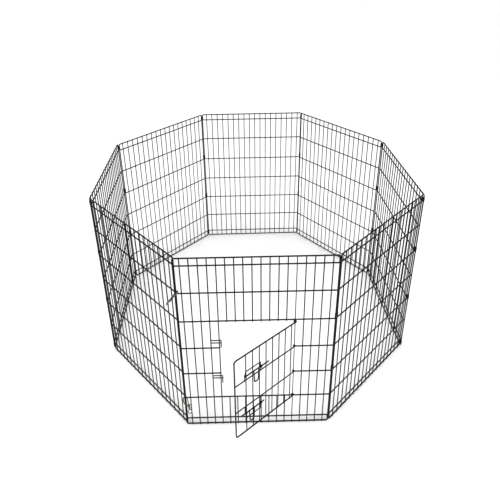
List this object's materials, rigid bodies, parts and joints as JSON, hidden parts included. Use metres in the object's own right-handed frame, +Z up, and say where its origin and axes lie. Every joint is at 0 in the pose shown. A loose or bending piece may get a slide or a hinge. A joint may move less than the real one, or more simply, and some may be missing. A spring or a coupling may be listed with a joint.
{
  "type": "pet playpen",
  "caption": "Folding wire exercise pen for pets: hinged mesh panels in an open ring, a swing door with slide bolts, and bolt snaps that close the ring.",
  "frame": {"origin": "middle of the whole object's box, door standing open, at floor level", "axes": "+Z up; the panel with the door faces -Y, +X to the right seen from outside that panel"},
  "size_m": [1.4546, 1.7324, 0.8646],
  "materials": {
    "wire_coating": "satin black coating on steel wire",
    "hinge_clip_coating": "satin black coating on folded sheet steel",
    "latch_coating": "satin black coating, rubbed where the bolt slides",
    "snap_nickel": "bright nickel plate"
  },
  "bodies": {
    "front_panel": {"panel_front": "wire_coating", "keeper_upper": "wire_coating", "keeper_lower": "wire_coating", "hinge_clip_1_bottom": "hinge_clip_coating", "hinge_clip_1_lower": "hinge_clip_coating", "hinge_clip_1_upper": "hinge_clip_coating", "hinge_clip_1_top": "hinge_clip_coating"},
    "front_right_panel": {"panel_front_right": "wire_coating", "hinge_clip_2_bottom": "hinge_clip_coating", "hinge_clip_2_lower": "hinge_clip_coating", "hinge_clip_2_upper": "hinge_clip_coating", "hinge_clip_2_top": "hinge_clip_coating"},
    "right_panel": {"panel_right": "wire_coating", "hinge_clip_3_bottom": "hinge_clip_coating", "hinge_clip_3_lower": "hinge_clip_coating", "hinge_clip_3_upper": "hinge_clip_coating", "hinge_clip_3_top": "hinge_clip_coating"},
    "back_right_panel": {"panel_back_right": "wire_coating", "hinge_clip_4_bottom": "hinge_clip_coating", "hinge_clip_4_lower": "hinge_clip_coating", "hinge_clip_4_upper": "hinge_clip_coating", "hinge_clip_4_top": "hinge_clip_coating"},
    "back_panel": {"panel_back": "wire_coating", "hinge_clip_5_bottom": "hinge_clip_coating", "hinge_clip_5_lower": "hinge_clip_coating", "hinge_clip_5_upper": "hinge_clip_coating", "hinge_clip_5_top": "hinge_clip_coating"},
    "back_left_panel": {"panel_back_left": "wire_coating", "hinge_clip_6_bottom": "hinge_clip_coating", "hinge_clip_6_lower": "hinge_clip_coating", "hinge_clip_6_upper": "hinge_clip_coating", "hinge_clip_6_top": "hinge_clip_coating"},
    "left_panel": {"panel_left": "wire_coating", "hinge_clip_7_bottom": "hinge_clip_coating", "hinge_clip_7_lower": "hinge_clip_coating", "hinge_clip_7_upper": "hinge_clip_coating", "hinge_clip_7_top": "hinge_clip_coating"},
    "front_left_panel": {"panel_front_left": "wire_coating"},
    "door": {"door": "wire_coating", "bolt_guide_upper": "latch_coating", "bolt_guide_lower": "latch_coating"},
    "slide_bolt_upper": {"slide_bolt_upper": "latch_coating"},
    "slide_bolt_lower": {"slide_bolt_lower": "latch_coating"},
    "snap_upper": {"snap_upper_hook": "snap_nickel", "snap_upper_spring": "snap_nickel"},
    "snap_upper_gate": {"snap_upper_gate": "snap_nickel"},
    "snap_upper_eye": {"snap_upper_eye": "snap_nickel"},
    "snap_lower": {"snap_lower_hook": "snap_nickel", "snap_lower_spring": "snap_nickel"},
    "snap_lower_gate": {"snap_lower_gate": "snap_nickel"},
    "snap_lower_eye": {"snap_lower_eye": "snap_nickel"}
  },
  "joints": [
    {"name": "fold", "type": "hinge", "parent": "front_panel", "child": "front_right_panel", "pos_m": [0.29245, -0.65393, 0], "axis": [0, 0, 1], "range_deg": [0, 130.5]},
    {"name": "corner_2_turn", "type": "hinge", "parent": "front_right_panel", "child": "right_panel", "pos_m": [0.72373, -0.22476, 0], "axis": [0, 0, 1], "range_deg": [-220.8, 0]},
    {"name": "corner_3_turn", "type": "hinge", "parent": "right_panel", "child": "back_right_panel", "pos_m": [0.68649, 0.38458, 0], "axis": [0, 0, 1], "range_deg": [0, 139.8]},
    {"name": "corner_4_turn", "type": "hinge", "parent": "back_right_panel", "child": "back_panel", "pos_m": [0.3089, 0.86166, 0], "axis": [0, 0, 1], "range_deg": [-224.7, 0]},
    {"name": "corner_5_turn", "type": "hinge", "parent": "back_panel", "child": "back_left_panel", "pos_m": [-0.30148, 0.85104, 0], "axis": [0, 0, 1], "range_deg": [0, 129.6]},
    {"name": "corner_6_turn", "type": "hinge", "parent": "back_left_panel", "child": "left_panel", "pos_m": [-0.72137, 0.41073, 0], "axis": [0, 0, 1], "range_deg": [-216.3, 0]},
    {"name": "corner_7_turn", "type": "hinge", "parent": "left_panel", "child": "front_left_panel", "pos_m": [-0.71741, -0.19973, 0], "axis": [0, 0, 1], "range_deg": [0, 134.3]},
    {"name": "door_hinge", "type": "hinge", "parent": "front_panel", "child": "door", "pos_m": [0.13165, -0.66263, 0], "axis": [0, 0, 1], "range_deg": [-40, 110]},
    {"name": "slide_bolt_upper_slide", "type": "slide", "parent": "door", "child": "slide_bolt_upper", "axis": [-0.766, -0.6428, 0], "range_m": [0, 0.0325]},
    {"name": "slide_bolt_lower_slide", "type": "slide", "parent": "door", "child": "slide_bolt_lower", "axis": [-0.766, -0.6428, 0], "range_m": [-0.0235, 0.009]},
    {"name": "snap_upper_swing", "type": "hinge", "parent": "front_panel", "child": "snap_upper", "pos_m": [-0.3168, -0.65563, 0.702], "axis": [0, 0, 1], "range_deg": [-12, 1]},
    {"name": "snap_upper_gate_slide", "type": "slide", "parent": "snap_upper", "child": "snap_upper_gate", "axis": [-0.6419, 0.0336, -0.766], "range_m": [0, 0.0055], "stiffness_N_per_m": 120, "springref_m": -0.004, "deforming": ["snap_upper_spring"]},
    {"name": "snap_upper_eye_swivel", "type": "hinge", "parent": "snap_upper", "child": "snap_upper_eye", "pos_m": [-0.34166, -0.66334, 0.67289], "axis": [-0.6419, 0.0336, -0.766], "continuous": true},
    {"name": "snap_lower_swing", "type": "hinge", "parent": "front_panel", "child": "snap_lower", "pos_m": [-0.3168, -0.65563, 0.139], "axis": [0, 0, 1], "range_deg": [-6, 2]},
    {"name": "snap_lower_gate_slide", "type": "slide", "parent": "snap_lower", "child": "snap_lower_gate", "axis": [0.2198, -0.604, -0.766], "range_m": [0, 0.0055], "stiffness_N_per_m": 120, "springref_m": -0.004, "deforming": ["snap_lower_spring"]},
    {"name": "snap_lower_eye_swivel", "type": "hinge", "parent": "snap_lower", "child": "snap_lower_eye", "pos_m": [-0.29999, -0.6755, 0.10989], "axis": [0.2198, -0.604, -0.766], "continuous": true}
  ],
  "couplings": [
    {"joint": "corner_2_turn", "follows": "fold", "ratio": -1.6914},
    {"joint": "corner_3_turn", "follows": "fold", "ratio": 1.0706},
    {"joint": "corner_4_turn", "follows": "fold", "ratio": -1.7212},
    {"joint": "corner_5_turn", "follows": "fold", "ratio": 0.9926},
    {"joint": "corner_6_turn", "follows": "fold", "ratio": -1.6571},
    {"joint": "corner_7_turn", "follows": "fold", "ratio": 1.0279}
  ]
}
